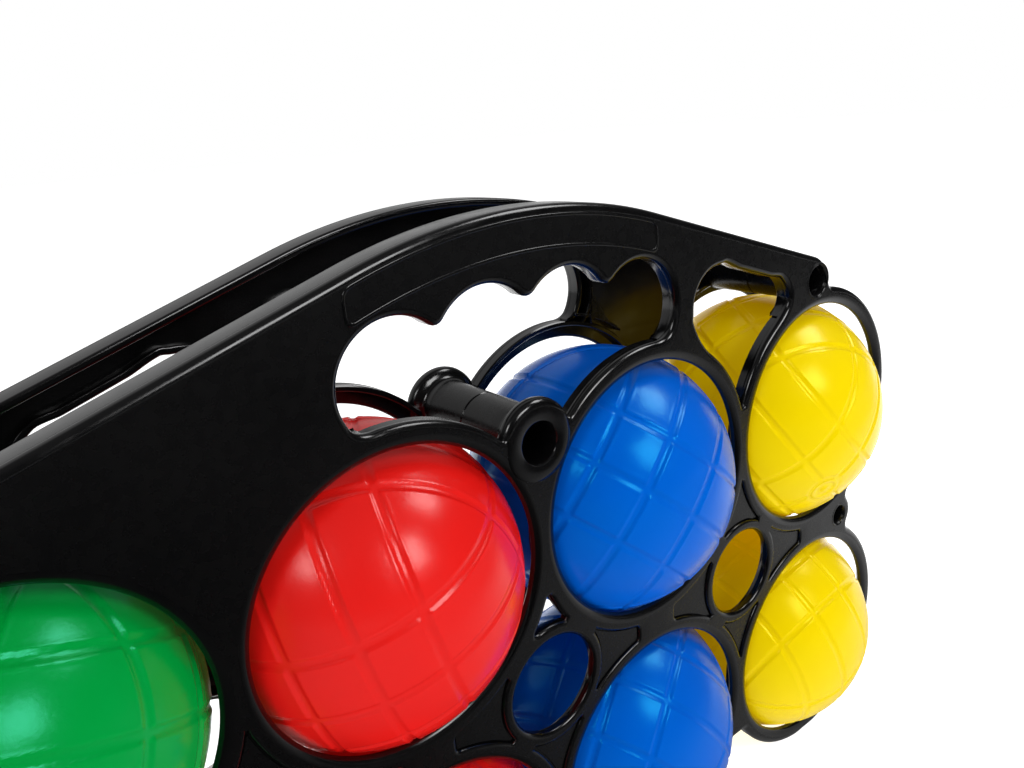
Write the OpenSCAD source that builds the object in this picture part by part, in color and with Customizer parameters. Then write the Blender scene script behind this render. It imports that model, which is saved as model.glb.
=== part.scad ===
/* [Balls] */
// Diameter of each playing ball
ball_d = 74; // [72:0.5:74]
// Wall thickness of the hollow playing balls
ball_wall = 2.5; // [1.5:0.5:4]
// Diameter of the filler plug in each playing ball
plug_d = 9; // [6:0.5:10]
// Diameter of the small target ball
jack_d = 28.4; // [27:0.1:28.4]

/* [Carrier layout] */
// Distance between neighbouring columns of balls
pitch_x = 75.2; // [75:0.1:76]
// Distance between the two rows of balls
pitch_z = 81.1; // [81.1:0.1:83]
// Distance between the outer faces of the two mouldings
depth = 42; // [42:0.5:46]
// How far the upper balls hang below their hole centres
sag_upper = 2.25; // [1.5:0.05:2.3]
// How far the lower balls hang below their hole centres
sag_lower = 2; // [1:0.05:2.05]

/* [Mouldings] */
// Thickness of the flat web
web_t = 2.4; // [1.8:0.1:3]
// Inner radius of the snap lips that hold the balls
lip_r = 34.3; // [34.3:0.1:34.8]
// Depth of the snap lips
lip_t = 2.4; // [1.8:0.1:2.4]
// Radius of the opening behind each snap lip
seat_r = 37.8; // [37.8:0.05:38]
// Outer radius of the ring wall round each ball
ring_r = 39.4; // [39.2:0.1:39.6]
// Depth of the ring walls
ring_t = 5; // [3:0.5:5]
// Inner radius of the three small rings
small_r = 13.2; // [12:0.1:13.6]
// Outer radius of the three small rings
small_out_r = 15.85; // [15.5:0.05:15.85]
// Depth of the top flange
flange_t = 9; // [5:0.5:12]

/* [Handle] */
// Height of the crown above the upper hole centres
crown_h = 77.5; // [74:0.5:80]
// Radius of the crown's arc
crown_r = 136.4; // [120:0.2:150]
// Slope of the shoulders in degrees
shoulder = 17.5; // [16:0.1:18]
// Distance between the finger grips
finger_pitch = 22.8; // [21:0.1:24]

/* [Hidden] */
$fn = 96;

ball_r = ball_d / 2;
half = depth / 2;
z_l = ring_r - 0.3;              // lower hole centres; the ring bottoms are trimmed flat
z_u = z_l + pitch_z;             // upper hole centres
z_m = (z_l + z_u) / 2;           // small ring centres
cols = [-1.5, -0.5, 0.5, 1.5];   // green, red, blue, yellow
tan_x = crown_r * sin(shoulder);
tan_z = z_u + crown_h - crown_r * (1 - cos(shoulder));
crown_z = z_u + crown_h - crown_r;
corner_x = 110;
corner_r = 6.8;
corner_z = tan_z - tan(shoulder) * (corner_x - tan_x) - corner_r / cos(shoulder);
side_x = 128.3;
side_z = 78.9;
post_z = z_u + 24.8;
foot_z = 13.2;
web_y = 1;                       // the web is set back this far from the outer face
jack_z = z_l - sag_lower + sqrt(pow(ball_r + jack_d / 2 + 0.3, 2) - pow(pitch_x / 2, 2));

black = [0.03, 0.03, 0.035];
green = [0.02, 0.45, 0.14];
red = [0.85, 0.06, 0.05];
blue = [0.01, 0.25, 0.72];
yellow = [0.95, 0.82, 0.02];

// A flat shape drawn as x and height, from y0 to y1
module slab(y0, y1) translate([0, y1, 0]) rotate([90, 0, 0]) linear_extrude(y1 - y0) children();
// A cylinder along Y at x and z
module rod(x, z, y0, y1, r, n = 64) translate([x, y1, z]) rotate([90, 0, 0]) cylinder(h = y1 - y0, r = r, $fn = n);

module hole_discs(r) for (c = cols, z = [z_l, z_u]) translate([c * pitch_x, z]) circle(r = r);

// Points round an arc from angle a0 to a1
function arc(cx, cz, r, a0, a1, n) = [for (i = [0 : n]) let (a = a0 + (a1 - a0) * i / n) [cx + r * cos(a), cz + r * sin(a)]];

// The crown and shoulders, down to the upper hole centres, drawn smaller by inset
module crown2d(inset = 0) {
  rc = corner_r - inset;
  polygon(concat(
    [[-corner_x, z_u], [-corner_x - rc, corner_z - 7]],
    arc(-corner_x, corner_z, rc, 180, 90 + shoulder, 8),
    arc(0, crown_z, crown_r - inset, 90 + shoulder, 90 - shoulder, 36),
    arc(corner_x, corner_z, rc, 90 - shoulder, 0, 8),
    [[corner_x + rc, corner_z - 7], [corner_x, z_u]]));
}

module silhouette2d() {
  crown2d(0.8);
  hole_discs(ring_r - 0.8);
  translate([-1.5 * pitch_x, z_l]) square([3 * pitch_x, pitch_z]);
  for (s = [-1, 1]) {
    translate([s * side_x, side_z]) circle(r = 6.6);
    polygon([[s * 108, z_u - 24], [s * 108, z_l + 24], [s * 127, 73], [s * 127, 85]]);
    polygon([[s * (pitch_x - 18), z_l], [s * (pitch_x + 18), z_l], [s * (pitch_x + 8), 20], [s * (pitch_x - 8), 20]]);
  }
  translate([0, foot_z]) circle(r = 8.6);
  polygon([[-18, z_l], [18, z_l], [8.4, 14], [-8.4, 14]]);
}

// The grip: four finger scallops, opened down to the ring walls and the centre post
module grip2d(grow = 0, under = 0) {
  difference() {
    union() {
      for (s = [-1, 1]) {
        translate([s * finger_pitch / 2, z_u + 49.7]) circle(r = 13.5 + grow);
        translate([s * finger_pitch * 1.5, z_u + 48]) circle(r = 13 + grow);
      }
      translate([-finger_pitch * 1.5, z_u + 12]) square([finger_pitch * 3, 37]);
    }
    translate([-pitch_x / 2, z_u]) circle(r = ring_r - under);
    translate([pitch_x / 2, z_u]) circle(r = ring_r - under);
    translate([0, post_z]) circle(r = 9.8);
    translate([-12, z_u - 2]) square([24, 22]);
  }
}

// The rounded three-sided opening between two ring walls and the shoulder
module corner_opening2d(grow = 0, under = 0) {
  difference() {
    union() {
      translate([64.5, z_u + 44.5]) circle(r = 10 + grow);
      translate([90, z_u + 40.2]) circle(r = 6 + grow);
      translate([75.4, z_u + 16]) circle(r = 9 + grow);
      polygon([[64.5 - 9.6 - grow, z_u + 41.8], [64.5 + 2.6, z_u + 54.2 + grow], [91.6, z_u + 46 + grow],
        [96 + grow, z_u + 39.8], [82, z_u + 10], [68, z_u + 10]]);
    }
    translate([pitch_x / 2, z_u]) circle(r = ring_r - under);
    translate([1.5 * pitch_x, z_u]) circle(r = ring_r - under);
  }
}

// The see-through gap between two ring walls and the middle small ring
module gap2d() {
  difference() {
    polygon([[0, z_u - 9], [11, z_u - 30], [-11, z_u - 30]]);
    translate([-pitch_x / 2, z_u]) circle(r = ring_r - 0.8);
    translate([pitch_x / 2, z_u]) circle(r = ring_r - 0.8);
    translate([0, z_m]) circle(r = small_r + 1);
  }
}

// One of the two twin mouldings, on the -Y side. lips: with its snap lips and jack ring in one piece
module moulding(lips) {
  difference() {
    union() {
      // flat web
      slab(-half + web_y, -half + web_y + web_t) difference() {
        silhouette2d();
        grip2d(0.6, 0.8);
        corner_opening2d(0.6, 0.8);
        gap2d();
        for (c = [0, 1]) translate([c * pitch_x, z_m]) circle(r = small_r + 1);
      }
      // ring walls
      slab(-half, -half + ring_t) hole_discs(ring_r);
      // small ring walls
      slab(-half + 0.15, -half + 6.5) for (c = [0, 1]) translate([c * pitch_x, z_m]) circle(r = small_out_r);
      // top flange
      slab(-half + 0.3, -half + flange_t) difference() {
        crown2d();
        crown2d(2);
        polygon([[-130, z_u - 5], [130, z_u - 5], [130, corner_z - 6], [corner_x - 7, corner_z - 1.5],
          [-corner_x + 7, corner_z - 1.5], [-130, corner_z - 6]]);
      }
      // raised lips of the grip and the corner opening
      slab(-half + 0.4, -half + 4) {
        difference() {
          grip2d(2);
          grip2d();
        }
        difference() {
          corner_opening2d(2);
          corner_opening2d();
        }
      }
      // half posts, which butt against the twin's on the centre plane
      rod(0, post_z, -half + 0.1, -half + 3, 10.4);
      rod(0, post_z, -half + 0.6, 0, 7.4);
      rod(0, foot_z, -half + 0.1, 0, 6.6);
      for (s = [-1, 1]) {
        rod(s * corner_x, corner_z, -half + 0.1, 0, 5.6);
        rod(s * side_x, side_z, -half + 0.2, -half + 4.5, 7);
        rod(s * side_x, side_z, -half + 0.7, 0, 4.6);
      }
    }
    // seats for the balls, and the lips' own openings
    for (c = cols, z = [z_l, z_u]) rod(c * pitch_x, z, -half - 1, -half + 11, seat_r, 128);
    // small rings: open in the middle and right, and the left one is the jack's
    for (c = [0, 1]) rod(c * pitch_x, z_m, -half - 1, -half + 11, small_r);
    rod(-pitch_x, z_m, -half - 1, -half + 11, small_out_r);
    // bores of the centre posts
    rod(0, post_z, -half - 1, 1, 5);
    rod(0, foot_z, -half - 1, 1, 4.4);
    // screw side of the right-hand posts
    rod(corner_x, corner_z, -half - 1, -6, 3.6);
    rod(corner_x, corner_z, -7, 1, 1.8);
    rod(side_x, side_z, -half - 1, -6, 3);
    rod(side_x, side_z, -7, 1, 1.8);
    // pilot side of the left-hand posts
    rod(-corner_x, corner_z, -10, 1, 1.35);
    rod(-side_x, side_z, -10, 1, 1.35);
    // blind dimples at the outer ends of the left-hand posts
    rod(-corner_x, corner_z, -half - 1, -14, 3.6);
    rod(-side_x, side_z, -half - 1, -14, 3);
    // shallow blank panel along the handle
    slab(-half + web_y - 1, -half + web_y + 0.5) intersection() {
      difference() {
        translate([0, crown_z]) circle(r = crown_r - 4.5, $fn = 256);
        translate([0, crown_z]) circle(r = crown_r - 11.5, $fn = 256);
      }
      translate([-40, z_u]) square([80, 90]);
    }
    // flats under the lower ring walls
    translate([-200, -half - 1, -10]) cube([400, half + 2, 10]);
  }
  if (lips) {
    for (c = cols, z = [z_l, z_u]) lip(c * pitch_x, z);
    jack_ring();
  }
}

// A snap lip: the thin flexible collar that a ball is pushed past
module lip(x, z) difference() {
  rod(x, z, -half, -half + lip_t, seat_r, 128);
  rod(x, z, -half - 1, -half + lip_t + 1, lip_r, 128);
}
// A separate lip, cut flat where it meets the next column's
module loose_lip(x, z) intersection() {
  lip(x, z);
  translate([x - pitch_x / 2 + 0.05, -half - 1, z - 50]) cube([pitch_x - 0.1, lip_t + 2, 100]);
}
module jack_ring() difference() {
  rod(-pitch_x, z_m, -half, -half + 6.5, small_out_r);
  rod(-pitch_x, z_m, -half - 1, -half + 7.5, small_r);
}

module front_moulding() color(black) moulding(false);
module rear_moulding() color(black) rotate([0, 0, 180]) moulding(true);

// Pan-head self-tapping screws, two from each side
module screw(x, z) translate([x, 0, z]) rotate([-90, 0, 0]) difference() {
  union() {
    translate([0, 0, -6]) cylinder(h = 14, r = 1.5, $fn = 32);
    translate([0, 0, -8.2]) cylinder(h = 2.2, r = 2.7, $fn = 48);
  }
  translate([-0.35, -1.6, -9]) cube([0.7, 3.2, 1.8]);
  translate([-1.6, -0.35, -9]) cube([3.2, 0.7, 1.8]);
}
module post_screws() color([0.6, 0.6, 0.62]) for (a = [0, 180]) rotate([0, 0, a]) {
  screw(corner_x, corner_z);
  screw(side_x, side_z);
}

function ball_z(upper) = upper ? z_u - sag_upper : z_l - sag_lower;
// Each plug points away from the ball's centre: turn about Z, then tilt up
plug_turn = [[150, 20, 35], [100, -15, 0], [60, 10, 0], [-109.6, -27.8, 0], [120, -20, 0], [75, 5, 0], [110, 25, 0], [95, -10, 0]];

module at_ball(i) translate([cols[i % 4] * pitch_x, 0, ball_z(i < 4)]) children();
module at_plug(i) at_ball(i) rotate([0, 0, plug_turn[i][0]]) rotate([0, 90 - plug_turn[i][1], 0]) children();

module shell(i, c) color(c) difference() {
  at_ball(i) sphere(r = ball_r, $fn = 128);
  at_ball(i) sphere(r = ball_r - ball_wall, $fn = 128);
  at_plug(i) translate([0, 0, ball_r - ball_wall - 2]) cylinder(h = 8, r = plug_d / 2, $fn = 48);
}
// A domed plug with a small raised dot in a shallow dish
module plug(i, c) color(c) difference() {
  intersection() {
    at_ball(i) sphere(r = ball_r, $fn = 128);
    at_plug(i) translate([0, 0, ball_r - ball_wall - 1]) cylinder(h = 8, r = plug_d / 2, $fn = 48);
  }
  at_plug(i) translate([0, 0, ball_r - 0.75]) difference() {
    cylinder(h = 3, r = plug_d / 2 - 0.9, $fn = 48);
    translate([0, 0, -1]) cylinder(h = 5, r = 1.3, $fn = 32);
  }
}

module jack() color([0.92, 0.9, 0.84]) translate([-pitch_x, 0, jack_z]) sphere(r = jack_d / 2, $fn = 96);

front_moulding();
rear_moulding();
color(black) loose_lip(cols[0] * pitch_x, z_u);  // lip_green_upper
color(black) loose_lip(cols[1] * pitch_x, z_u);  // lip_red_upper
color(black) loose_lip(cols[2] * pitch_x, z_u);  // lip_blue_upper
color(black) loose_lip(cols[3] * pitch_x, z_u);  // lip_yellow_upper
color(black) loose_lip(cols[0] * pitch_x, z_l);  // lip_green_lower
color(black) loose_lip(cols[1] * pitch_x, z_l);  // lip_red_lower
color(black) loose_lip(cols[2] * pitch_x, z_l);  // lip_blue_lower
color(black) loose_lip(cols[3] * pitch_x, z_l);  // lip_yellow_lower
color(black) jack_ring();  // lip_jack
post_screws();
shell(0, green);  // ball_green_upper
shell(1, red);  // ball_red_upper
shell(2, blue);  // ball_blue_upper
shell(3, yellow);  // ball_yellow_upper
shell(4, green);  // ball_green_lower
shell(5, red);  // ball_red_lower
shell(6, blue);  // ball_blue_lower
shell(7, yellow);  // ball_yellow_lower
plug(0, green);  // plug_green_upper
plug(1, red);  // plug_red_upper
plug(2, blue);  // plug_blue_upper
plug(3, yellow);  // plug_yellow_upper
plug(4, green);  // plug_green_lower
plug(5, red);  // plug_red_lower
plug(6, blue);  // plug_blue_lower
plug(7, yellow);  // plug_yellow_lower
jack();
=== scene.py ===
import math

import bmesh
import bpy
import numpy as np
from mathutils import Matrix, Vector, geometry


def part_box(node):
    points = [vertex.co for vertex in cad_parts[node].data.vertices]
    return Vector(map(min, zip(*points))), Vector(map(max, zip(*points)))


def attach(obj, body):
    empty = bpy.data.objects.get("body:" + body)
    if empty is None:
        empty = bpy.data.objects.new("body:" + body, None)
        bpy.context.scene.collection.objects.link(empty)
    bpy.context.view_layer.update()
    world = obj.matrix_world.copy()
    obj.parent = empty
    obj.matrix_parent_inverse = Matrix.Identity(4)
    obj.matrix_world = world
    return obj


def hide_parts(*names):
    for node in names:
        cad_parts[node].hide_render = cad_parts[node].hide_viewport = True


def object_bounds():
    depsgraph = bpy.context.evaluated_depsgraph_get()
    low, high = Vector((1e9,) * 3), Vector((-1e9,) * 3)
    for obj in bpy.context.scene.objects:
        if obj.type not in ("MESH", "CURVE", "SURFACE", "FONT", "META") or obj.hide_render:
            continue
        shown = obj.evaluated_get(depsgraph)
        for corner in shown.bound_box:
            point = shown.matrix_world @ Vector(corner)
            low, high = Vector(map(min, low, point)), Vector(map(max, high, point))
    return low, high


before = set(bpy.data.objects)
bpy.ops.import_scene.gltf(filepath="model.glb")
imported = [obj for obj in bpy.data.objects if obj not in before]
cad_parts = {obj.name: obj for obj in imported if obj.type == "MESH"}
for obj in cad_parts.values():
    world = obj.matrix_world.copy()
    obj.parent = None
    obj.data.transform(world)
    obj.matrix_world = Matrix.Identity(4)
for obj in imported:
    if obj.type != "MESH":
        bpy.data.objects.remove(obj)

cad_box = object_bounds()
MM = 0.001

# ---------------------------------------------------------------- sizes, in mm, as in the CAD
PX, PZ = 75.2, 81.1
Z_L = 39.1
Z_U = Z_L + PZ
Z_M = (Z_L + Z_U) / 2
HALF = 21.0
LIP_R, SEAT_R, RING_R = 34.3, 37.8, 39.4
SMALL_R, SMALL_OUT = 13.2, 15.85
CROWN_R = 136.4
CROWN_Z = Z_U + 77.5 - CROWN_R
SHOULDER = math.radians(17.5)
CORNER_X, CORNER_R = 110.0, 6.8
TAN_X = CROWN_R * math.sin(SHOULDER)
TAN_Z = CROWN_Z + CROWN_R * math.cos(SHOULDER)
CORNER_Z = TAN_Z - math.tan(SHOULDER) * (CORNER_X - TAN_X) - CORNER_R / math.cos(SHOULDER)
SIDE_X, SIDE_Z = 128.3, 78.9
POST_Z, FOOT_Z = Z_U + 24.8, 13.2
COLS = [-1.5 * PX, -0.5 * PX, 0.5 * PX, 1.5 * PX]
FACE = -20.72          # outer face of the visible plate
BACK = -18.3           # its inner face
SAG_U, SAG_L = 2.25, 2.0


# ---------------------------------------------------------------- flat shapes as distance fields
def circle(cx, cz, r):
    return lambda x, z: np.hypot(x - cx, z - cz) - r


def polygon(pts):
    pts = np.array(pts, float)

    def f(x, z):
        d = np.full(np.shape(x), 1e9)
        s = np.ones(np.shape(x))
        n = len(pts)
        for i in range(n):
            ax, az = pts[i]
            bx, bz = pts[(i + 1) % n]
            ex, ez = bx - ax, bz - az
            wx, wz = x - ax, z - az
            t = np.clip((wx * ex + wz * ez) / (ex * ex + ez * ez), 0, 1)
            d = np.minimum(d, (wx - ex * t) ** 2 + (wz - ez * t) ** 2)
            c1 = z >= az
            c2 = z < bz
            c3 = ex * wz > ez * wx
            flip = (c1 & c2 & c3) | (~c1 & ~c2 & ~c3)
            s = np.where(flip, -s, s)
        return s * np.sqrt(d)

    return f


def plane(nx, nz, d):
    return lambda x, z: nx * x + nz * z - d


def join(*fs):
    return lambda x, z: np.minimum.reduce([f(x, z) for f in fs])


def meet(*fs):
    return lambda x, z: np.maximum.reduce([f(x, z) for f in fs])


def inv(f):
    return lambda x, z: -f(x, z)


def grow(f, d):
    return lambda x, z: f(x, z) - d


def join_r(r, *fs):
    """Joined, with the inner corners filled to radius r."""

    def two(a, b):
        u, v = np.maximum(r - a, 0), np.maximum(r - b, 0)
        return np.maximum(r, np.minimum(a, b)) - np.hypot(u, v)

    def f(x, z):
        out = fs[0](x, z)
        for g in fs[1:]:
            out = two(out, g(x, z))
        return out

    return f


def meet_r(r, *fs):
    """The common part, with the outer corners rounded to radius r."""

    def two(a, b):
        u, v = np.maximum(r + a, 0), np.maximum(r + b, 0)
        return np.minimum(-r, np.maximum(a, b)) + np.hypot(u, v)

    def f(x, z):
        out = fs[0](x, z)
        for g in fs[1:]:
            out = two(out, g(x, z))
        return out

    return f


def cut_r(r, a, *bs):
    return meet_r(r, a, *[inv(b) for b in bs])


def cut(a, *bs):
    return meet(a, *[inv(b) for b in bs])


def mirror_x(f):
    return lambda x, z: f(-x, z)


# ---------------------------------------------------------------- outlines of a distance field
def gradient(f, p, h=0.02):
    x, z = p[:, 0], p[:, 1]
    gx = (f(x + h, z) - f(x - h, z)) / (2 * h)
    gz = (f(x, z + h) - f(x, z - h)) / (2 * h)
    g = np.stack([gx, gz], 1)
    n = np.linalg.norm(g, axis=1, keepdims=True)
    return g, np.maximum(n, 1e-6)


def settle(f, p, rounds=4):
    for _ in range(rounds):
        v = f(p[:, 0], p[:, 1])[:, None]
        g, n = gradient(f, p)
        step = -v * g / np.maximum(n * n, 0.05)
        length = np.linalg.norm(step, axis=1, keepdims=True)
        p = p + step * np.minimum(1, 0.4 / np.maximum(length, 1e-9))
    return p


def outlines(f, box, step=0.8, space=0.9, smallest=2.0):
    """Closed outlines where f is 0, each as (points, outward normals)."""
    x0, z0, x1, z1 = box
    xs = np.arange(x0, x1 + step, step) + 0.0137
    zs = np.arange(z0, z1 + step, step) + 0.0171
    X, Z = np.meshgrid(xs, zs, indexing="ij")
    V = f(X, Z)
    S = V < 0
    nx, nz = V.shape
    links = {}

    def point(i, j, k):
        a = (i, j)
        b = (i + 1, j) if k == 0 else (i, j + 1)
        t = V[a] / (V[a] - V[b])
        return (xs[a[0]] + t * (xs[b[0]] - xs[a[0]]), zs[a[1]] + t * (zs[b[1]] - zs[a[1]]))

    mixed = (S[:-1, :-1].astype(int) + S[1:, :-1] + S[:-1, 1:] + S[1:, 1:])
    for i, j in zip(*np.where((mixed > 0) & (mixed < 4))):
        a, b, c, d = S[i, j], S[i + 1, j], S[i + 1, j + 1], S[i, j + 1]
        edges = []
        if a != b:
            edges.append((i, j, 0))
        if b != c:
            edges.append((i + 1, j, 1))
        if c != d:
            edges.append((i, j + 1, 0))
        if d != a:
            edges.append((i, j, 1))
        if len(edges) == 2:
            pairs = [(edges[0], edges[1])]
        else:
            middle = (V[i, j] + V[i + 1, j] + V[i + 1, j + 1] + V[i, j + 1]) < 0
            if middle == bool(a):
                pairs = [(edges[0], edges[1]), (edges[2], edges[3])]
            else:
                pairs = [(edges[3], edges[0]), (edges[1], edges[2])]
        for e, g in pairs:
            links.setdefault(e, []).append(g)
            links.setdefault(g, []).append(e)
    loops, seen = [], set()
    for start in sorted(links):
        if start in seen:
            continue
        chain, prev, at = [start], None, start
        seen.add(start)
        while True:
            nexts = [q for q in links[at] if q != prev]
            if not nexts or nexts[0] in seen:
                break
            prev, at = at, nexts[0]
            seen.add(at)
            chain.append(at)
        if len(chain) < 6:
            continue
        p = settle(f, np.array([point(*e) for e in chain]))
        q = np.vstack([p, p[:1]])
        length = np.r_[0, np.cumsum(np.linalg.norm(np.diff(q, axis=0), axis=1))]
        if length[-1] < smallest:
            continue
        n = max(16, int(round(length[-1] / space)))
        t = np.linspace(0, length[-1], n, endpoint=False)
        p = np.stack([np.interp(t, length, q[:, 0]), np.interp(t, length, q[:, 1])], 1)
        p = settle(f, p, 3)
        g, m = gradient(f, p, 0.05)
        normal = g / m
        # a light smoothing of the normals, along the outline
        normal = (normal * 2 + np.roll(normal, 1, 0) + np.roll(normal, -1, 0))
        normal /= np.linalg.norm(normal, axis=1, keepdims=True)
        loops.append((p, normal))
    return loops


# ---------------------------------------------------------------- mesh building
class Shell:
    """Vertices and faces in mm, made of closed shells."""

    def __init__(self):
        self.v, self.f, self.m, self.n = [], [], [], 0

    def ring(self, pts):
        pts = np.asarray(pts, float)
        self.v.append(pts)
        ids = np.arange(self.n, self.n + len(pts))
        self.n += len(pts)
        return ids

    def bridge(self, a, b, mat=0):
        for i in range(len(a)):
            j = (i + 1) % len(a)
            self.f.append((int(a[i]), int(a[j]), int(b[j]), int(b[i])))
            self.m.append(mat)

    def fill(self, rings, pts2d, mat=0):
        """Triangles between the outlines, by the even-odd rule."""
        ids = np.concatenate(rings)
        pts = np.concatenate(pts2d)
        edges, k = [], 0
        for r in pts2d:
            n = len(r)
            edges += [(k + i, k + (i + 1) % n) for i in range(n)]
            k += n
        out = geometry.delaunay_2d_cdt([Vector(p) for p in pts], edges, [], 0, 1e-6)
        verts, tris, source = out[0], out[2], out[3]
        y = float(np.concatenate(self.v)[ids[0]][1])
        index = []
        for v, src in zip(verts, source):
            index.append(int(ids[src[0]]) if src else int(self.ring([[v[0], y, v[1]]])[0]))
        P = np.array([tuple(v) for v in verts])
        T = np.array(tris)
        c = P[T].mean(1)
        A, B = pts[[e[0] for e in edges]], pts[[e[1] for e in edges]]
        inside = np.zeros(len(c), bool)
        for i in range(0, len(c), 400):
            q = c[i:i + 400]
            up = (A[None, :, 1] > q[:, None, 1]) != (B[None, :, 1] > q[:, None, 1])
            t = (q[:, None, 1] - A[None, :, 1]) / np.where(up, B[None, :, 1] - A[None, :, 1], 1)
            hit = up & (q[:, None, 0] < A[None, :, 0] + t * (B[None, :, 0] - A[None, :, 0]))
            inside[i:i + 400] = hit.sum(1) % 2 == 1
        for tri in T[inside]:
            self.f.append(tuple(index[i] for i in tri))
            self.m.append(mat)

    def lathe(self, cx, cz, profile, mats=None, n=96, a0=0.0):
        """A closed profile of (radius, y) turned round the Y axis through cx, cz. A radius of 0 closes the end."""
        a = a0 + np.arange(n) / n * 2 * math.pi
        rings = []
        for r, y in profile:
            if r <= 1e-6:
                rings.append(("tip", self.ring([[cx, y, cz]])[0]))
            else:
                rings.append(("ring", self.ring(np.stack([cx + r * np.cos(a), np.full(n, y), cz + r * np.sin(a)], 1))))
        tips = any(k == "tip" for k, _ in rings)
        count = len(rings)
        for k in range(count if not tips else count - 1):
            (ka, ra), (kb, rb) = rings[k], rings[(k + 1) % count]
            mat = mats[k] if mats else 0
            if ka == "ring" and kb == "ring":
                self.bridge(ra, rb, mat)
            elif ka == "ring":
                for i in range(n):
                    self.f.append((int(ra[i]), int(ra[(i + 1) % n]), int(rb)))
                    self.m.append(mat)
            elif kb == "ring":
                for i in range(n):
                    self.f.append((int(ra), int(rb[(i + 1) % n]), int(rb[i])))
                    self.m.append(mat)

    def slab(self, f, box, top, bottom, edge=(1.0, 0.9), edge_low=(0.3, 0.3), mats=(0, 1, 1), pick=None, insets=(), step=0.8, space=0.9, steps=7, land=0.35):
        """A flat plate where f is below 0, from y top (outer) to bottom, with rounded outer edges.
        pick(loop) gives another (edge, bottom y) for a loop; insets are (f, depth) panels sunk into the top."""
        tops, tops2, lows, lows2 = [], [], [], []
        for p, n in outlines(f, box, step, space):
            (ew, eh), (lw, lh), low = (edge, edge_low, bottom) if pick is None else pick(p)
            prof = [(ew + land, top)]
            for k in range(steps + 1):
                t = math.pi / 2 * k / steps
                prof.append((ew * (1 - math.sin(t)), top + eh * (1 - math.cos(t))))
            n_top = len(prof)
            if lh > 0:
                for k in range(4):
                    t = math.pi / 2 * k / 3
                    prof.append((lw * (1 - math.cos(t)), low - lh * (1 - math.sin(t))))
            else:
                prof.append((0, low))
            prof.append((lw + min(0.3, land), low))
            last, first = None, None
            for k, (d, y) in enumerate(prof):
                q = p - n * d
                r = self.ring(np.stack([q[:, 0], np.full(len(q), y), q[:, 1]], 1))
                if last is not None:
                    self.bridge(last, r, mats[0] if k == 1 else mats[1])
                else:
                    first = (r, q)
                last = r
                final = (r, q)
            tops.append(first[0])
            tops2.append(first[1])
            lows.append(final[0])
            lows2.append(final[1])
        for g, depth in insets:
            floors, floors2 = [], []
            for p, n in outlines(g, box, step, space):
                last = None
                # n points out of the panel, so the plate's own edge lies on its + side
                for k, (d, y) in enumerate([(-0.95, top), (-0.7, top + 0.03), (-0.45, top + 0.11), (-0.22, top + 0.26), (-0.06, top + 0.48), (0.0, top + 0.7), (0.03, top + depth + 0.35), (0.3, top + depth + 0.35), (0.42, top + depth), (0.6, top + depth)]):
                    q = p - n * d
                    r = self.ring(np.stack([q[:, 0], np.full(len(q), y), q[:, 1]], 1))
                    if last is not None:
                        self.bridge(last, r, mats[0] if k == 9 else mats[2])
                    else:
                        tops.append(r)
                        tops2.append(q)
                    last, q_last = r, q
                floors.append(last)
                floors2.append(q_last)
            if floors:
                self.fill(floors, floors2, mats[0])
        self.fill(tops, tops2, mats[0])
        self.fill(lows, lows2, mats[2])

    def object(self, name, mats, turn=False, smooth=40):
        v = np.concatenate(self.v) * MM
        v[:, 2] = np.maximum(v[:, 2], 0)            # the rings stand flat on the floor
        v[:, 0] = np.clip(v[:, 0], cad_box[0][0] + 2e-6, cad_box[1][0] - 2e-6)
        if turn:
            v = v * np.array([-1, -1, 1])
        mesh = bpy.data.meshes.new(name)
        mesh.from_pydata(v.tolist(), [], self.f)
        mesh.polygons.foreach_set("material_index", np.array(self.m, np.int32))
        for m in mats:
            mesh.materials.append(m)
        bm = bmesh.new()
        bm.from_mesh(mesh)
        bmesh.ops.remove_doubles(bm, verts=bm.verts, dist=1e-7)
        bmesh.ops.dissolve_degenerate(bm, dist=1e-7, edges=bm.edges)
        bmesh.ops.recalc_face_normals(bm, faces=bm.faces)
        bm.to_mesh(mesh)
        bm.free()
        mesh.polygons.foreach_set("use_smooth", np.ones(len(mesh.polygons), bool))
        mesh.set_sharp_from_angle(angle=math.radians(smooth))
        mesh.update()
        o = bpy.data.objects.new(name, mesh)
        bpy.context.scene.collection.objects.link(o)
        return o


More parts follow.
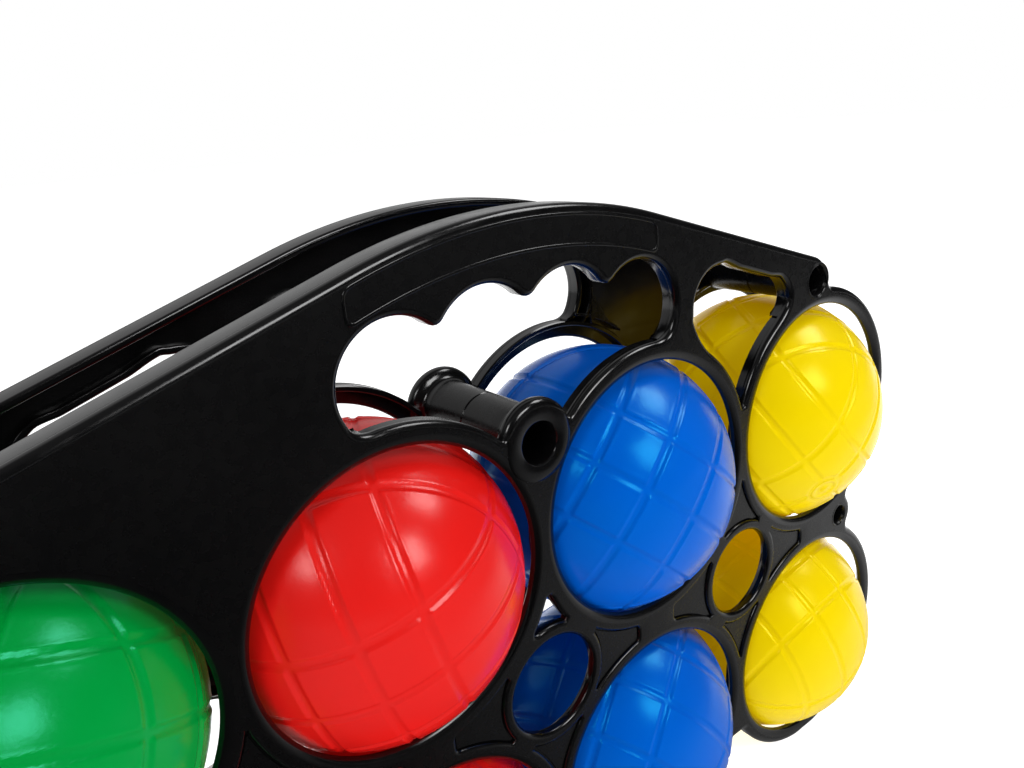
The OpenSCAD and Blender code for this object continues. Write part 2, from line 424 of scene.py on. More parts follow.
# ---------------------------------------------------------------- materials
class Nodes:
    def __init__(self, name):
        self.mat = bpy.data.materials.new(name)
        self.mat.use_nodes = True
        self.t = self.mat.node_tree
        self.t.nodes.clear()
        self.out = self.add("ShaderNodeOutputMaterial")
        self.bsdf = self.add("ShaderNodeBsdfPrincipled")
        self.link(self.bsdf, "BSDF", self.out, "Surface")
        self.pos = self.add("ShaderNodeTexCoord")

    def add(self, kind, **props):
        n = self.t.nodes.new(kind)
        for k, v in props.items():
            setattr(n, k, v)
        return n

    def link(self, a, ao, b, bi):
        self.t.links.new(a.outputs[ao], b.inputs[bi])

    def noise(self, scale, detail=3, rough=0.5, stretch=None):
        n = self.add("ShaderNodeTexNoise")
        n.inputs["Scale"].default_value = scale
        n.inputs["Detail"].default_value = detail
        n.inputs["Roughness"].default_value = rough
        if stretch:
            m = self.add("ShaderNodeMapping")
            m.inputs["Scale"].default_value = stretch
            self.link(self.pos, "Object", m, "Vector")
            self.link(m, "Vector", n, "Vector")
        else:
            self.link(self.pos, "Object", n, "Vector")
        return n

    def ramp(self, source, out, lo, hi, a, b):
        m = self.add("ShaderNodeMapRange")
        m.inputs["From Min"].default_value = lo
        m.inputs["From Max"].default_value = hi
        m.inputs["To Min"].default_value = a
        m.inputs["To Max"].default_value = b
        self.link(source, out, m, "Value")
        return m

    def mix(self, factor, fo, c1, c2):
        m = self.add("ShaderNodeMix", data_type="RGBA")
        self.link(factor, fo, m, 0)
        m.inputs[6].default_value = (*c1, 1)
        m.inputs[7].default_value = (*c2, 1)
        return m

    def bump(self, source, out, strength, distance, under=None):
        b = self.add("ShaderNodeBump")
        b.inputs["Strength"].default_value = strength
        b.inputs["Distance"].default_value = distance
        self.link(source, out, b, "Height")
        if under:
            self.link(under, "Normal", b, "Normal")
        return b


def black_satin():
    k = Nodes("black_plastic_satin")
    cloud = k.noise(38, 4)
    fine = k.noise(2600, 2)
    mid = k.noise(420, 3)
    c = k.mix(k.ramp(cloud, "Fac", 0.3, 0.7, 0, 1), "Result", (0.0014, 0.0014, 0.0016), (0.0026, 0.0025, 0.0027))
    k.link(c, 2, k.bsdf, "Base Color")
    r = k.ramp(mid, "Fac", 0.3, 0.7, 0.24, 0.31)
    k.link(r, "Result", k.bsdf, "Roughness")
    b1 = k.bump(fine, "Fac", 0.22, 0.00012)
    b2 = k.bump(cloud, "Fac", 0.10, 0.0006, b1)
    k.link(b2, "Normal", k.bsdf, "Normal")
    k.bsdf.inputs["IOR"].default_value = 1.47
    k.bsdf.inputs["Specular IOR Level"].default_value = 0.36
    return k.mat


def black_gloss():
    k = Nodes("black_plastic_gloss")
    cloud = k.noise(60, 4)
    wave = k.noise(180, 2)
    c = k.mix(k.ramp(cloud, "Fac", 0.3, 0.7, 0, 1), "Result", (0.0012, 0.0012, 0.0014), (0.0022, 0.0021, 0.0023))
    k.link(c, 2, k.bsdf, "Base Color")
    r = k.ramp(wave, "Fac", 0.3, 0.7, 0.13, 0.22)
    k.link(r, "Result", k.bsdf, "Roughness")
    b1 = k.bump(wave, "Fac", 0.10, 0.00025)
    k.link(b1, "Normal", k.bsdf, "Normal")
    k.bsdf.inputs["IOR"].default_value = 1.5
    return k.mat


def ball_plastic(name, dark, light, sheen, tint, painted_glow):
    k = Nodes(name)
    cloud = k.noise(22, 3)
    peel = k.noise(1250, 2, 0.55)
    fine = k.noise(2400, 2)
    c = k.mix(k.ramp(cloud, "Fac", 0.3, 0.7, 0, 1), "Result", dark, light)
    k.link(c, 2, k.bsdf, "Base Color")
    r = k.ramp(peel, "Fac", 0.3, 0.7, 0.20, 0.25)
    k.link(r, "Result", k.bsdf, "Roughness")
    b1 = k.bump(peel, "Fac", 0.20, 0.00010)
    b2 = k.bump(fine, "Fac", 0.08, 0.00006, b1)
    k.link(b2, "Normal", k.bsdf, "Normal")
    k.bsdf.inputs["IOR"].default_value = 1.5
    k.bsdf.inputs["Specular IOR Level"].default_value = 0.42
    k.bsdf.inputs["Specular Tint"].default_value = (*tint, 1)
    # painted light: a weak emission in the ball's own hue lifts its shaded side, standing in for the light that the
    # thin walls let through
    k.bsdf.inputs["Emission Color"].default_value = (*painted_glow, 1)
    k.bsdf.inputs["Emission Strength"].default_value = 1.0
    k.bsdf.inputs["Subsurface Weight"].default_value = 0.05
    k.bsdf.inputs["Subsurface Radius"].default_value = sheen
    k.bsdf.inputs["Subsurface Scale"].default_value = 0.002
    return k.mat


def steel():
    k = Nodes("screw_steel_zinc")
    cloud = k.noise(900, 3)
    k.link(k.mix(cloud, "Fac", (0.42, 0.43, 0.45), (0.62, 0.62, 0.6)), 2, k.bsdf, "Base Color")
    k.link(k.ramp(cloud, "Fac", 0.3, 0.7, 0.25, 0.42), "Result", k.bsdf, "Roughness")
    k.bsdf.inputs["Metallic"].default_value = 1.0
    return k.mat


SATIN, GLOSS, STEEL = black_satin(), black_gloss(), steel()
# each ball's last colour is its painted glow: an emission that paints light into the shaded side of the ball
PLASTIC = {
    "green": ball_plastic("green_plastic_moulded", (0.0, 0.225, 0.026), (0.0, 0.250, 0.034), (0.2, 1.0, 0.3), (0.15, 1.0, 0.78), (0.0, 0.018, 0.003)),
    "red": ball_plastic("red_plastic_moulded", (0.59, 0.0060, 0.0045), (0.64, 0.0085, 0.0065), (1.0, 0.2, 0.1), (1.0, 0.8, 0.78), (0.05, 0.0003, 0.0002)),
    "blue": ball_plastic("blue_plastic_moulded", (0.0, 0.084, 0.47), (0.0, 0.098, 0.53), (0.1, 0.4, 1.0), (0.03, 0.74, 1.0), (0.0, 0.004, 0.03)),
    "yellow": ball_plastic("yellow_plastic_moulded", (0.60, 0.495, 0.0), (0.65, 0.535, 0.0), (1.0, 0.7, 0.1), (1.0, 0.9, 0.12), (0.22, 0.105, 0.0)),
    "white": ball_plastic("white_plastic_moulded", (0.74, 0.72, 0.66), (0.80, 0.78, 0.72), (1.0, 0.9, 0.8), (1.0, 1.0, 1.0), (0.03, 0.028, 0.025)),
}

# ---------------------------------------------------------------- flat outlines of a moulding
discs = [circle(x, z, RING_R) for x in COLS for z in (Z_L, Z_U)]


def top_line(x, z):
    dz = z - CROWN_Z
    ax = np.abs(x)
    arc = np.hypot(x, dz) - CROWN_R
    line = ax * math.sin(SHOULDER) + dz * math.cos(SHOULDER) - CROWN_R
    return np.where(ax < math.tan(SHOULDER) * dz, arc, line)


sides = lambda x, z: np.abs(x) - (CORNER_X + CORNER_R)
crown = meet(meet_r(CORNER_R, top_line, sides), plane(0, -1, -(Z_U - 6)))
boss_r = polygon([(108, Z_U - 24), (108, Z_L + 24), (127, 73), (127, 85)])
side_boss = join_r(3, boss_r, circle(SIDE_X, SIDE_Z, 7.0))
taper = polygon([(PX - 18, Z_L), (PX + 18, Z_L), (PX + 8, 20), (PX - 8, 20)])
foot = join_r(3, polygon([(-18, Z_L), (18, Z_L), (8.4, 14), (-8.4, 14)]), circle(0, FOOT_Z, 8.6))
block = polygon([(-1.5 * PX, Z_L), (1.5 * PX, Z_L), (1.5 * PX, Z_U), (-1.5 * PX, Z_U)])
body = join(*discs, block, taper, mirror_x(taper), foot)
body = join_r(2.0, body, crown)
body = join_r(3.0, body, join(side_boss, mirror_x(side_boss)))
body = meet(body, plane(0, -1, 0.0))

ring_red, ring_blue, ring_yellow = (circle(x, Z_U, RING_R) for x in (-PX / 2, PX / 2, 1.5 * PX))


def grip_field(g=0.0):
    sc = [circle(s * 11.4, Z_U + 49.7, 13.5 + g) for s in (-1, 1)] + [circle(s * 34.2, Z_U + 48, 13 + g) for s in (-1, 1)]
    core = polygon([(-34.2, Z_U + 12), (34.2, Z_U + 12), (34.2, Z_U + 49), (-34.2, Z_U + 49)])
    # the pointed teeth between the scallops, rounded
    lobes = join_r(3.2 - min(g, 2) * 0.9, sc[0], sc[1])
    lobes = join_r(3.0 - min(g, 2) * 0.9, lobes, sc[2])
    lobes = join_r(3.0 - min(g, 2) * 0.9, lobes, sc[3])
    whole = join(lobes, core)
    out = cut_r(2.4, whole, ring_red)
    out = cut_r(2.4, out, ring_blue)
    out = cut_r(1.2, out, join_r(2, circle(0, POST_Z, 9.8), polygon([(-12, Z_U - 2), (12, Z_U - 2), (12, Z_U + 18), (-12, Z_U + 18)])))
    return out


def corner_field(g=0.0):
    a = circle(64.5, Z_U + 44.5, 10 + g)
    b = circle(90, Z_U + 40.2, 6 + g)
    c = circle(75.4, Z_U + 16, 9 + g)
    p = polygon([(64.5 - 9.6 - g, Z_U + 41.8), (64.5 + 2.6, Z_U + 54.2 + g), (91.6, Z_U + 46 + g), (96 + g, Z_U + 39.8), (82, Z_U + 10), (68, Z_U + 10)])
    return cut_r(2.0, join_r(2, a, b, c, p), join(ring_blue, ring_yellow))


grip, corner = grip_field(), corner_field()
gap = meet_r(0.8, polygon([(0, Z_U - 7.5), (11.5, Z_U - 30.5), (-11.5, Z_U - 30.5)]), inv(circle(-PX / 2, Z_U, RING_R + 0.9)), inv(circle(PX / 2, Z_U, RING_R + 0.9)), inv(circle(0, Z_M, 17.0)))
holes = [circle(x, z, LIP_R) for x in COLS for z in (Z_L, Z_U)]
smalls = [circle(x, Z_M, SMALL_R) for x in (-PX, 0, PX)]
bores = [circle(0, POST_Z, 7.5), circle(0, FOOT_Z, 4.6)] + [circle(s * CORNER_X, CORNER_Z, 4.5) for s in (-1, 1)] + [circle(s * SIDE_X, SIDE_Z, 3.3) for s in (-1, 1)]
plate = cut(body, grip, corner, gap, *holes, *smalls, *bores)

# sunk panels of the web, between the ring bands
big = join(*[circle(x, z, RING_R - 0.5) for x in COLS for z in (Z_L, Z_U)])
web_zone = join(*[circle(x, Z_M, 16.4) for x in (-PX, 0, PX)])


def web_panel(pts, extra=()):
    return meet_r(0.9, polygon(pts), inv(big), inv(web_zone), *[inv(e) for e in extra])


panels = []
for x in (-PX, 0, PX):
    for s in (-1, 1):
        panels.append(web_panel([(x + s * 12, Z_M - 20), (x + s * 30.5, Z_M - 20), (x + s * 30.5, Z_M + 20), (x + s * 12, Z_M + 20)][:: s]))
    if x != 0:
        panels.append(web_panel([(x - 14, Z_M + 12), (x + 14, Z_M + 12), (x + 14, Z_M + 33), (x - 14, Z_M + 33)]))
    panels.append(web_panel([(x - 14, Z_M - 34), (x + 14, Z_M - 34), (x + 14, Z_M - 12), (x - 14, Z_M - 12)], () if x else (circle(0, FOOT_Z, 12.0),)))
strap = meet_r(0.9, polygon([(-12, Z_U - 4.6), (12, Z_U - 4.6), (12, Z_U + 20), (-12, Z_U + 20)]), inv(circle(-PX / 2, Z_U, RING_R + 1.0)), inv(circle(PX / 2, Z_U, RING_R + 1.0)), inv(circle(0, POST_Z, 12.6)))


# the blank panel along the handle: a band with rounded corners, outlined by a fine line
def band(x, z, grown=0.0):
    rr = np.hypot(x, z - CROWN_Z)
    a = np.arctan2(x, z - CROWN_Z)
    mid, half_w, a0, a1 = CROWN_R - 5.75, 3.35, math.radians(-19.5), math.radians(18.0)
    dx = np.abs(a - (a0 + a1) / 2) * rr - (a1 - a0) / 2 * mid + 1.9
    dz = np.abs(rr - mid) - half_w + 1.9
    return np.hypot(np.maximum(dx, 0), np.maximum(dz, 0)) + np.minimum(np.maximum(dx, dz), 0) - 1.9 - grown



WIDE = (-156, -3, 156, 201)


def build_moulding(name, turn):
    s = Shell()
    step, space = ((0.8, 0.8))

    def pick(p):
        cx, cz = p.mean(0)
        r = np.hypot(p[:, 0] - cx, p[:, 1] - cz).mean()
        spread = np.hypot(p[:, 0] - cx, p[:, 1] - cz).std()
        if spread < 0.05 and abs(r - LIP_R) < 0.5:      # a ball's hole
            return (2.5, 1.55), (0.6, 0.9), BACK
        if spread < 0.05 and abs(r - SMALL_R) < 0.5:    # a small ring
            return (1.3, 1.1), (0.2, 0.3), BACK
        if spread < 0.05 and r < 5:                     # a bore
            return (0.5, 0.5), (0.1, 0.1), BACK
        if len(p) * space > 700:                        # the outer edge
            return (1.9, 1.7), (0.3, 0.3), BACK
        return (1.5, 1.4), (0.3, 0.3), BACK

    s.slab(plate, WIDE, FACE, BACK, pick=pick, insets=[(f, 0.85) for f in panels] + [(strap, 0.7)], step=step, space=space)
    # ring walls behind the plate
    for x in COLS:
        for z in (Z_L, Z_U):
            s.lathe(x, z, [(SEAT_R, -18.6), (SEAT_R, -16.3), (SEAT_R + 0.3, -16.0), (RING_R - 0.35, -16.0), (RING_R - 0.05, -16.3), (RING_R - 0.05, -18.6)], [1] * 6, 144)
    for x in (-PX, 0, PX):
        s.lathe(x, Z_M, [(SMALL_R + 0.25, -18.9), (SMALL_R + 0.35, -18.2), (SMALL_R + 0.7, -18.0), (SMALL_OUT - 1.1, -18.0), (SMALL_OUT - 0.8, -16.6), (SMALL_OUT - 0.5, -16.3), (SMALL_OUT - 0.25, -16.3), (SMALL_OUT, -16.6), (SMALL_OUT, -18.6)], [1] * 9, 96)
    # walls round the grip, the corner opening and the gap
    for f0, f1, deep in ((grip, grip_field(1.8), -15.6), (corner, corner_field(1.8), -15.6)):
        wall = meet(f1, inv(f0), inv(circle(0, POST_Z, 9.8)))
        s.slab(wall, WIDE, -18.5, deep, edge=(0.05, 0.05), edge_low=(0.5, 0.5), mats=(1, 1, 1), step=0.6, space=space, steps=1)
    # top flange
    flange = meet(crown, inv(grow(crown, -2.0)), plane(0, -1, -(CORNER_Z - 4)))
    s.slab(flange, WIDE, -18.5, -12.0, edge=(0.05, 0.05), edge_low=(0.7, 0.7), mats=(1, 1, 1), step=0.6, space=space, steps=1)
    # posts
    s.lathe(0, POST_Z, [(5.0, 0), (5.0, -20.3), (5.25, -20.75), (5.7, -20.92), (8.3, -20.92), (9.25, -20.72), (9.95, -20.2), (10.3, -19.5), (10.4, -18.7), (10.25, -17.8), (9.7, -17.1), (8.9, -16.75), (8.2, -16.4), (7.7, -15.8), (7.45, -15.0), (7.4, -14.0), (7.4, -0.35), (7.1, 0.0)], [1] * 15 + [0, 1, 1], 128)
    s.lathe(0, FOOT_Z, [(4.4, 0), (4.4, -20.2), (4.8, -20.85), (6.8, -20.85), (7.7, -20.4), (8.1, -19.6), (8.1, -18.0), (7.0, -17.0), (6.6, -16.0), (6.6, -0.35), (6.3, 0)], [1] * 8 + [0, 1, 1], 96)
    for sx in (-1, 1):
        pilot = sx < 0
        for x, z, r_out, r_in in ((sx * CORNER_X, CORNER_Z, 6.0, 4.3), (sx * SIDE_X, SIDE_Z, 4.6, 3.05)):
            mouth = [(r_in, -19.6), (r_in + 0.25, -20.3), (r_in + 0.7, -20.8), (r_in + 1.15, -20.8), (r_in + 1.4, -20.4), (r_out, -18.4), (r_out, -0.35), (r_out - 0.3, 0)]
            if pilot:
                s.lathe(x, z, [(0, -14.0), (r_in, -14.0)] + mouth + [(1.35, 0), (1.35, 9.0 - 19.0), (0, -10.0)], None, 64)
            else:
                s.lathe(x, z, mouth + [(1.8, 0), (1.8, -6.0), (r_in, -6.0)], None, 64)
    # ribs on the inner face of the closed shoulder
    around = meet(lambda X, Z: np.abs(grip(X, Z) - 4.9) - 0.45, plane(1, 0, -37.0), plane(0, -1, -(Z_U + 26)))
    upright = meet(lambda X, Z: np.abs(X + 51.6) - 0.45, plane(0, 1, Z_U + 41.5), plane(0, -1, -(Z_U + 26)))
    by_ring = meet(lambda X, Z: np.abs(np.hypot(X + PX / 2, Z - Z_U) - RING_R - 1.7) - 0.4, lambda X, Z: np.abs(X + 54) - 9, plane(0, -1, -(Z_U + 20)))
    rib = meet(join(around, upright, by_ring), inv(circle(-PX / 2, Z_U, RING_R - 0.4)))
    s.slab(rib, (-120, Z_U, -40, 200), -18.5, -15.2, edge=(0.05, 0.05), edge_low=(0.2, 0.3), mats=(0, 0, 0), step=0.35, space=0.8, steps=1)
    o = s.object(name, [SATIN, GLOSS], turn)
    # the blank panel's outline is its own small shell: a low round ridge
    t = Shell()
    t.slab(lambda x, z: np.abs(band(x, z)) - 0.38, (-64, Z_U + 36, 60, 200), FACE - 0.17, FACE + 0.3, edge=(0.3, 0.2), edge_low=(0.02, 0.0), mats=(1, 1, 1), step=0.3, space=0.6, steps=6, land=0.04)
    line = t.object(name + "_panel_line", [SATIN, GLOSS], turn)
    return o, line


CARRIER = "carrier"
lips = [f"lip_{c}_{r}" for c in ("green", "red", "blue", "yellow") for r in ("upper", "lower")]
front, front_line = build_moulding("front_shell", False)
rear, rear_line = build_moulding("rear_shell", True)
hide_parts("front_moulding", "lip_jack", *lips)
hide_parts("rear_moulding")
for o in (front, rear, front_line, rear_line):
    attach(o, CARRIER)


# ---------------------------------------------------------------- balls
def cube_sphere(n):
    t = np.tan(np.linspace(-math.pi / 4, math.pi / 4, n + 1))
    A, B = np.meshgrid(t, t, indexing="ij")
    pts, quads = [], []
    base = 0
    one = np.ones_like(A)
    for make in (
        lambda: (one, A, B), lambda: (-one, B, A), lambda: (B, one, A),
        lambda: (A, -one, B), lambda: (A, B, one), lambda: (B, A, -one),
    ):
        p = np.stack(make(), -1).reshape(-1, 3)
        pts.append(p / np.linalg.norm(p, axis=1, keepdims=True))
        i = np.arange(n)[:, None] * (n + 1) + np.arange(n)[None, :]
        q = np.stack([i, i + n + 1, i + n + 2, i + 1], -1).reshape(-1, 4) + base
        quads.append(q)
        base += (n + 1) ** 2
    pts, quads = np.concatenate(pts), np.concatenate(quads)
    key = np.round(pts * 1e5).astype(np.int64)
    _, first, back = np.unique(key, axis=0, return_index=True, return_inverse=True)
    return pts[first], back.reshape(-1)[quads]


SPHERE = cube_sphere(118)
BALL_R = 36.9


def unit(v):
    v = np.array(v, float)
    return v / np.linalg.norm(v)


def smooth_step(t):
    t = np.clip(t, 0, 1)
    return t * t * (3 - 2 * t)


def groove(s):
    """A shallow flat channel between two soft raised edges."""
    a = np.abs(s)
    return -0.34 * (1 - smooth_step((a - 0.62) / 0.5)) + 0.08 * np.exp(-(((a - 1.42) / 0.34) ** 2))


def ball_mesh(name, centre, circles, plug_dir, mat):
    u, quads = SPHERE
    h = np.zeros(len(u))
    for n, d in circles:
        s = (np.arcsin(np.clip(u @ n, -1, 1)) - math.asin(d)) * BALL_R
        g = groove(s)
        h = np.where((g < -0.02) | (h < -0.02), np.minimum(h, g), np.maximum(h, g))
    if plug_dir is not None:
        s = np.arccos(np.clip(u @ plug_dir, -1, 1)) * BALL_R
        h = h * smooth_step((s - 5.4) / 1.2)
        h = h - 0.24 * np.exp(-(((s - 5.15) / 0.5) ** 2))
        h = h - 1.3 * (1 - smooth_step((s - 3.4) / 1.1))
    v = u * (BALL_R + h)[:, None] + np.array(centre)
    mesh = bpy.data.meshes.new(name)
    mesh.from_pydata((v * MM).tolist(), [], quads.tolist())
    mesh.materials.append(mat)
    bm = bmesh.new()
    bm.from_mesh(mesh)
    bmesh.ops.recalc_face_normals(bm, faces=bm.faces)
    bm.to_mesh(mesh)
    bm.free()
    mesh.polygons.foreach_set("use_smooth", np.ones(len(mesh.polygons), bool))
    o = bpy.data.objects.new(name, mesh)
    bpy.context.scene.collection.objects.link(o)
    return o


def plug_mesh(name, centre, direction, mat):
    n = 72
    prof = [(0.0, 0.07), (0.35, 0.06), (0.75, 0.0), (1.05, -0.12), (1.3, -0.25), (1.6, -0.32), (2.2, -0.33), (2.8, -0.3), (3.15, -0.2), (3.5, -0.04), (3.8, 0.04), (4.1, 0.06), (4.4, 0.0), (4.6, -0.12), (4.75, -0.35), (4.8, -0.7), (4.6, -1.6), (0.0, -1.8)]
    w = Vector(direction)
    q = Vector((0, 0, 1)).rotation_difference(w).to_matrix()
    R = np.array(q)
    verts, faces, rings = [], [], []
    a = np.arange(n) / n * 2 * math.pi
    for r, e in prof:
        h = math.sqrt(BALL_R ** 2 - r * r) + e
        if r == 0:
            rings.append([len(verts)])
            verts.append((0, 0, h))
        else:
            rings.append(list(range(len(verts), len(verts) + n)))
            verts += [(r * math.cos(t), r * math.sin(t), h) for t in a]
    for ra, rb in zip(rings, rings[1:]):
        for i in range(n):
            j = (i + 1) % n
            if len(ra) == 1:
                faces.append((ra[0], rb[i], rb[j]))
            elif len(rb) == 1:
                faces.append((ra[i], rb[0], ra[j]))
            else:
                faces.append((ra[i], rb[i], rb[j], ra[j]))
    v = (np.array(verts) @ R.T + np.array(centre)) * MM
    mesh = bpy.data.meshes.new(name)
    mesh.from_pydata(v.tolist(), [], faces)
    mesh.materials.append(mat)
    bm = bmesh.new()
    bm.from_mesh(mesh)
    bmesh.ops.recalc_face_normals(bm, faces=bm.faces)
    bm.to_mesh(mesh)
    bm.free()
    mesh.polygons.foreach_set("use_smooth", np.ones(len(mesh.polygons), bool))
    o = bpy.data.objects.new(name, mesh)
    bpy.context.scene.collection.objects.link(o)
    return o


# three families of parallel circles, square to one another: the axes, the step between circles and each family's offset
PLUG_TURN = {"green_upper": (150, 20), "red_upper": (100, -15), "blue_upper": (60, 10), "yellow_upper": (-109.6, -27.8),
             "green_lower": (120, -20), "red_lower": (75, 5), "blue_lower": (110, 25), "yellow_lower": (95, -10)}
PATTERN = {
    "green_upper": (((-0.474, -0.739, 0.478), (0.84, -0.543, -0.008), (0.266, 0.398, 0.878)), 0.403, (-0.016, -0.025, 0.018)),
    "red_upper": (((0.88, -0.399, 0.259), (-0.359, -0.914, -0.188), (-0.311, -0.073, 0.948)), 0.371, (-0.047, 0.009, -0.024)),
    "blue_upper": (((0.598, -0.607, -0.522), (0.656, -0.003, 0.755), (-0.46, -0.794, 0.397)), 0.383, (0.056, -0.084, -0.101)),
    "yellow_upper": (((0.597, -0.52, 0.611), (-0.334, -0.854, -0.4), (-0.729, -0.035, 0.683)), 0.384, (0.031, 0.021, -0.011)),
    "green_lower": (((0.8, -0.35, 0.487), (-0.5, -0.8, 0.33), (0.28, -0.51, -0.81)), 0.385, (0.0, 0.0, 0.0)),
    "red_lower": (((0.55, -0.6, 0.58), (-0.75, -0.66, 0.03), (0.36, -0.45, -0.81)), 0.385, (0.01, -0.01, 0.0)),
    "blue_lower": (((0.531, -0.81, -0.248), (-0.781, -0.354, -0.515), (0.33, 0.467, -0.82)), 0.407, (-0.044, 0.002, -0.015)),
    "yellow_lower": (((-0.942, 0.11, -0.317), (0.07, -0.859, -0.507), (-0.328, -0.5, 0.802)), 0.391, (-0.004, 0.046, -0.074)),
}


def circles_of(key):
    axes, step, offset = PATTERN[key]
    a = unit(axes[0])
    b = np.array(axes[1]) - a * (a @ np.array(axes[1]))
    b = unit(b)
    c = np.cross(a, b)
    c = c if c @ np.array(axes[2]) > 0 else -c
    return [(n, i * step + float(np.dot(offset, n))) for n in (a, b, c) for i in (-1, 0, 1)]


for i, colour in enumerate(("green", "red", "blue", "yellow")):
    for row in ("upper", "lower"):
        key = f"{colour}_{row}"
        centre = (COLS[i], 0.0, Z_U - SAG_U if row == "upper" else Z_L - SAG_L)
        a, e = (math.radians(v) for v in PLUG_TURN[key])
        d = np.array([math.cos(e) * math.cos(a), math.cos(e) * math.sin(a), math.sin(e)])
        ball = ball_mesh(f"{key}_ball", centre, circles_of(key), d, PLASTIC[colour])
        plug = plug_mesh(f"{key}_plug", centre, d, PLASTIC[colour])
        for o, node in ((ball, f"ball_{key}"), (plug, f"plug_{key}")):
            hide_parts(node)
            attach(o, f"ball_{key}")


def jack_mesh(name, lo, hi, mat):
    c = (lo + hi) / 2
    r = (hi.x - lo.x) / 2
    u, quads = cube_sphere(64)
    n1 = unit((0.25, 0.35, 0.9))
    s = np.arcsin(np.clip(u @ n1, -1, 1)) * r * 1000
    h = -0.22 * np.exp(-((s / 0.45) ** 2))
    pole = np.arccos(np.clip(np.abs(u @ n1), -1, 1)) * r * 1000
    h = h - 0.18 * np.exp(-(((pole - 3.2) / 0.4) ** 2))
    v = u * (r + h * MM)[:, None] + np.array(c)
    mesh = bpy.data.meshes.new(name)
    mesh.from_pydata(v.tolist(), [], quads.tolist())
    mesh.materials.append(mat)
    bm = bmesh.new()
    bm.from_mesh(mesh)
    bmesh.ops.recalc_face_normals(bm, faces=bm.faces)
    bm.to_mesh(mesh)
    bm.free()
    mesh.polygons.foreach_set("use_smooth", np.ones(len(mesh.polygons), bool))
    o = bpy.data.objects.new(name, mesh)
    bpy.context.scene.collection.objects.link(o)
    return o


jack = jack_mesh("jack_ball", *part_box("jack"), PLASTIC["white"])
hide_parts("jack")
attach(jack, "jack")

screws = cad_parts["post_screws"]
screws.data.materials.clear()
screws.data.materials.append(STEEL)

# ---------------------------------------------------------------- floor, light and camera
def make_floor():
    bm = bmesh.new()
    n, size = 24, 6.0
    grid = bmesh.ops.create_grid(bm, x_segments=n, y_segments=n, size=size)
    for v in grid["verts"]:
        v.co.z = 0.0
    mesh = bpy.data.meshes.new("floor")
    bm.to_mesh(mesh)
    bm.free()
    mesh.polygons.foreach_set("use_smooth", np.ones(len(mesh.polygons), bool))
    o = bpy.data.objects.new("floor", mesh)
    bpy.context.scene.collection.objects.link(o)
    k = Nodes("floor_pale")
    n1 = k.noise(3, 2)
    k.link(k.mix(n1, "Fac", (0.86, 0.86, 0.86), (0.89, 0.89, 0.89)), 2, k.bsdf, "Base Color")
    k.bsdf.inputs["Roughness"].default_value = 0.9
    k.bsdf.inputs["Specular IOR Level"].default_value = 0.1
    k.bsdf.inputs["Emission Color"].default_value = (1, 1, 1, 1)
    k.bsdf.inputs["Emission Strength"].default_value = 0.8
    mesh.materials.append(k.mat)
    return o


make_floor()

world = bpy.data.worlds.new("studio")
bpy.context.scene.world = world
world.use_nodes = True
wt = world.node_tree
bg = wt.nodes["Background"]
# a plain white studio; in reflections it is dark in front and bright behind the object
wc = wt.nodes.new("ShaderNodeTexCoord")
axes = wt.nodes.new("ShaderNodeSeparateXYZ")
wt.links.new(wc.outputs["Generated"], axes.inputs[0])


def world_range(output, lo, hi, a, b):
    m = wt.nodes.new("ShaderNodeMapRange")
    m.interpolation_type = "SMOOTHSTEP"
    for key, value in (("From Min", lo), ("From Max", hi), ("To Min", a), ("To Max", b)):
        m.inputs[key].default_value = value
    wt.links.new(axes.outputs[output], m.inputs["Value"])
    return m


behind = world_range("Y", 0.05, 0.65, 0.03, 0.55)
above = world_range("Z", 0.45, 0.95, 0.0, 0.14)
total = wt.nodes.new("ShaderNodeMath")
total.operation = "ADD"
wt.links.new(behind.outputs["Result"], total.inputs[0])
wt.links.new(above.outputs["Result"], total.inputs[1])
lp = wt.nodes.new("ShaderNodeLightPath")
shiny = wt.nodes.new("ShaderNodeMix")
shiny.data_type = "FLOAT"
shiny.inputs[2].default_value = 0.36
wt.links.new(lp.outputs["Is Glossy Ray"], shiny.inputs[0])
wt.links.new(total.outputs[0], shiny.inputs[3])
mx = wt.nodes.new("ShaderNodeMix")
mx.data_type = "FLOAT"
wt.links.new(lp.outputs["Is Camera Ray"], mx.inputs[0])
wt.links.new(shiny.outputs[0], mx.inputs[2])
mx.inputs[3].default_value = 1.0
wt.links.new(mx.outputs[0], bg.inputs["Strength"])
bg.inputs["Color"].default_value = (1, 1, 1, 1)


def area(name, at, to, size, power, size_y=None):
    light = bpy.data.lights.new(name, "AREA")
    light.shape = "RECTANGLE"
    light.size = size
    light.size_y = size_y or size
    light.energy = power
    o = bpy.data.objects.new(name, light)
    bpy.context.scene.collection.objects.link(o)
    o.location = at
    d = Vector(to) - Vector(at)
    o.rotation_mode = "QUATERNION"
    o.rotation_quaternion = d.to_track_quat("-Z", "Y")
    return o


area("front_box", (0.18, -1.02, 0.80), (0, 0, 0.12), 0.46, 6.0, 0.40)
area("right_box", (0.76, -0.35, 1.10), (0, 0, 0.12), 0.48, 5.0, 0.38)
area("left_box", (-0.97, -0.41, 0.87), (0, 0, 0.12), 0.36, 3.0, 0.32)


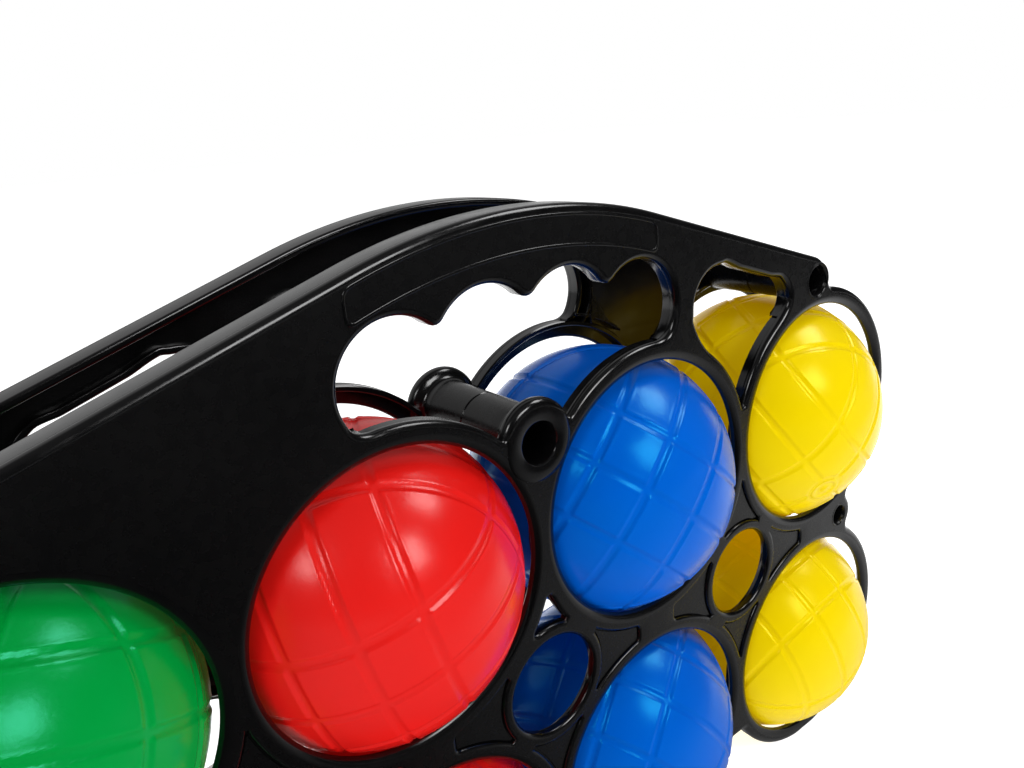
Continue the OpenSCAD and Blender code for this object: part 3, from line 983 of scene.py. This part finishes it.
# what reflections see in place of the floor: dark at the left and far away, mid grey close by at the right
def reflection_floor():
    bm = bmesh.new()
    bm.faces.new([bm.verts.new(v) for v in ((-3, -3, 0), (3, -3, 0), (3, 0.0, 0), (-3, 0.0, 0))])
    mesh = bpy.data.meshes.new("dark_card")
    bm.to_mesh(mesh)
    bm.free()
    o = bpy.data.objects.new("dark_card", mesh)
    bpy.context.scene.collection.objects.link(o)
    o.location = (0, 0, 0.001)
    k = Nodes("card_grey")
    k.bsdf.inputs["Base Color"].default_value = (0.0, 0.0, 0.0, 1)
    k.bsdf.inputs["Roughness"].default_value = 1.0
    k.bsdf.inputs["Specular IOR Level"].default_value = 0.0
    split = k.add("ShaderNodeSeparateXYZ")
    k.link(k.pos, "Object", split, "Vector")
    across = k.ramp(split, "X", 0.0, 0.16, 0.035, 0.5)
    near = k.ramp(split, "Y", -0.34, -0.11, 0.03, 1.0)
    further = k.ramp(split, "X", 0.16, 0.36, 0.0, 0.6)
    whole = k.add("ShaderNodeMath", operation="ADD")
    k.link(across, "Result", whole, 0)
    k.link(further, "Result", whole, 1)
    both = k.add("ShaderNodeMath", operation="MULTIPLY")
    k.link(whole, 0, both, 0)
    k.link(near, "Result", both, 1)
    k.bsdf.inputs["Emission Color"].default_value = (1, 1, 1, 1)
    k.link(both, 0, k.bsdf, "Emission Strength")
    mesh.materials.append(k.mat)
    o.visible_camera = False
    o.visible_shadow = False
    o.visible_diffuse = False


reflection_floor()

cam = bpy.data.cameras.new("camera")
cam.lens = 29.456
cam.sensor_width = 36
cam.clip_start, cam.clip_end = 0.01, 30
co = bpy.data.objects.new("camera", cam)
bpy.context.scene.collection.objects.link(co)
co.matrix_world = Matrix((
    (0.7780718689, 0.2471126826, -0.5775287775, -0.11118),
    (-0.6238945429, 0.1968452801, -0.7563117975, -0.15766),
    (-0.0732104231, 0.9487819864, 0.3073320292, 0.21643),
    (0, 0, 0, 1),
))
bpy.context.scene.camera = co
bpy.context.scene.view_settings.view_transform = "Standard"
